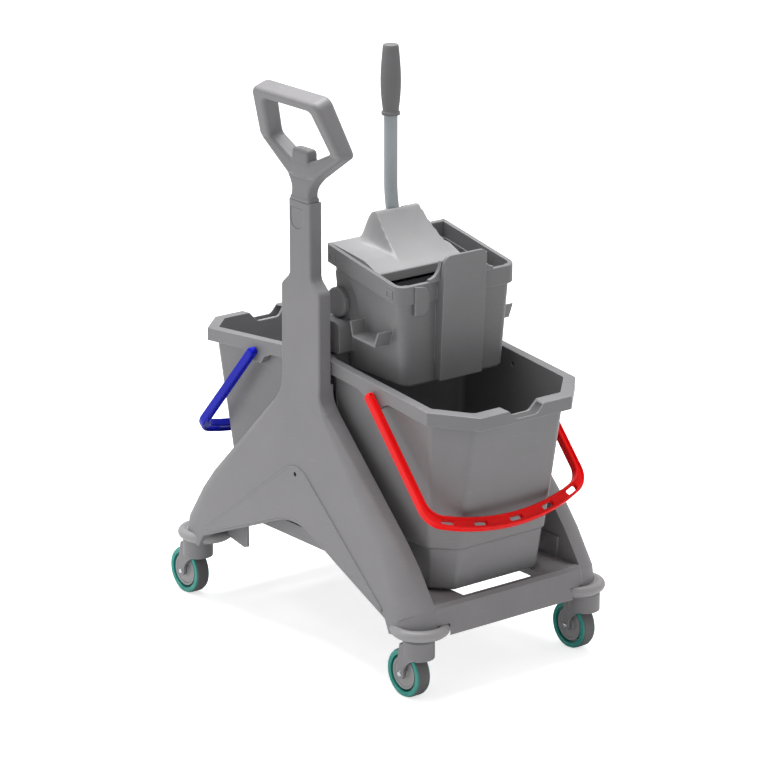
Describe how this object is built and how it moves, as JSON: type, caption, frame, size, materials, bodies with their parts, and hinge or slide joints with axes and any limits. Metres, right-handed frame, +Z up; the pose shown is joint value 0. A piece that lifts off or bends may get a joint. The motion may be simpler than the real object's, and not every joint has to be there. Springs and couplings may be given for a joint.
{
  "type": "double mop bucket trolley",
  "caption": "Wheeled plastic mop trolley with buckets side by side, swing bails, a push handle and a geared lever wringer over the red-handled bucket",
  "frame": {"origin": "on the floor, midway between the four castor swivel axes", "axes": "+X along the trolley toward the wringer's bucket, +Y across it from the push handle's side to the far side, +Z up"},
  "size_m": [0.714, 0.4198, 0.981],
  "materials": {
    "frame_plastic": "fine moulded grain",
    "light_plastic": "fine moulded grain",
    "bucket_plastic": "smooth moulded",
    "press_plastic": "smooth moulded",
    "teal_plastic": "smooth",
    "tread_rubber": "matte",
    "grip_rubber": "soft matte",
    "red_plastic": "smooth",
    "blue_plastic": "smooth",
    "steel": "zinc plated",
    "tube_steel": "powder coated"
  },
  "bodies": {
    "frame": {"near_panel": "frame_plastic", "far_panel": "frame_plastic", "near_facing": "frame_plastic", "far_facing": "frame_plastic", "base_frame": "frame_plastic", "castor_lips": "light_plastic", "wringer_bridge": "frame_plastic", "push_handle": "frame_plastic", "handle_lock": "frame_plastic", "handle_screws": "steel", "red_bucket": "bucket_plastic"},
    "blue_bucket": {"blue_bucket": "bucket_plastic"},
    "red_bail": {"red_bail": "red_plastic"},
    "blue_bail": {"blue_bail": "blue_plastic"},
    "wringer": {"wringer_body": "bucket_plastic", "wringer_cover": "light_plastic", "sieve_plate": "bucket_plastic", "press_rod": "steel"},
    "lever": {"lever_shaft": "steel", "pivot_caps": "frame_plastic", "lever_neck": "tube_steel", "lever_tube": "tube_steel", "lever_grip": "grip_rubber"},
    "press": {"press_plate": "press_plastic"},
    "castor_front_near": {"fork_front_near": "frame_plastic", "bolt_front_near": "steel"},
    "wheel_front_near": {"hub_front_near": "light_plastic", "ring_front_near": "teal_plastic", "tyre_front_near": "tread_rubber"},
    "castor_front_far": {"fork_front_far": "frame_plastic", "bolt_front_far": "steel"},
    "wheel_front_far": {"hub_front_far": "light_plastic", "ring_front_far": "teal_plastic", "tyre_front_far": "tread_rubber"},
    "castor_back_near": {"fork_back_near": "frame_plastic", "bolt_back_near": "steel"},
    "wheel_back_near": {"hub_back_near": "light_plastic", "ring_back_near": "teal_plastic", "tyre_back_near": "tread_rubber"},
    "castor_back_far": {"fork_back_far": "frame_plastic", "bolt_back_far": "steel"},
    "wheel_back_far": {"hub_back_far": "light_plastic", "ring_back_far": "teal_plastic", "tyre_back_far": "tread_rubber"}
  },
  "joints": [
    {"name": "swivel_front_near", "type": "hinge", "parent": "frame", "child": "castor_front_near", "pos_m": [0.298, -0.172, 0.095], "axis": [0, 0, 1], "continuous": true},
    {"name": "spin_front_near", "type": "hinge", "parent": "castor_front_near", "child": "wheel_front_near", "pos_m": [0.273, -0.172, 0.04], "axis": [0, 1, 0], "continuous": true},
    {"name": "swivel_front_far", "type": "hinge", "parent": "frame", "child": "castor_front_far", "pos_m": [0.298, 0.172, 0.095], "axis": [0, 0, 1], "continuous": true},
    {"name": "spin_front_far", "type": "hinge", "parent": "castor_front_far", "child": "wheel_front_far", "pos_m": [0.273, 0.172, 0.04], "axis": [0, 1, 0], "continuous": true},
    {"name": "swivel_back_near", "type": "hinge", "parent": "frame", "child": "castor_back_near", "pos_m": [-0.298, -0.172, 0.095], "axis": [0, 0, 1], "continuous": true},
    {"name": "spin_back_near", "type": "hinge", "parent": "castor_back_near", "child": "wheel_back_near", "pos_m": [-0.323, -0.172, 0.04], "axis": [0, 1, 0], "continuous": true},
    {"name": "swivel_back_far", "type": "hinge", "parent": "frame", "child": "castor_back_far", "pos_m": [-0.298, 0.172, 0.095], "axis": [0, 0, 1], "continuous": true},
    {"name": "spin_back_far", "type": "hinge", "parent": "castor_back_far", "child": "wheel_back_far", "pos_m": [-0.323, 0.172, 0.04], "axis": [0, 1, 0], "continuous": true},
    {"name": "red_bail_swing", "type": "hinge", "parent": "frame", "child": "red_bail", "pos_m": [0.157, 0, 0.461], "axis": [0, -1, 0], "range_deg": [0, 142]},
    {"name": "blue_bucket_lift", "type": "slide", "parent": "frame", "child": "blue_bucket", "axis": [0, 0, 1], "range_m": [0, 0.28]},
    {"name": "blue_bail_swing", "type": "hinge", "parent": "blue_bucket", "child": "blue_bail", "pos_m": [-0.157, 0, 0.461], "axis": [0, 1, 0], "range_deg": [0, 142]},
    {"name": "wringer_lift", "type": "slide", "parent": "frame", "child": "wringer", "axis": [0, 0, 1], "range_m": [0, 0.3]},
    {"name": "lever_swing", "type": "hinge", "parent": "wringer", "child": "lever", "pos_m": [0.015, 0, 0.578], "axis": [0, -1, 0], "range_deg": [0, 65], "stiffness_Nm_per_rad": 1.5, "springref_deg": -34.38},
    {"name": "press_swing", "type": "hinge", "parent": "wringer", "child": "press", "pos_m": [0.14572, 0, 0.49213], "axis": [0, -1, 0], "range_deg": [-19, 0.5]}
  ],
  "couplings": [
    {"joint": "press_swing", "follows": "lever_swing", "ratio": -0.27869}
  ]
}
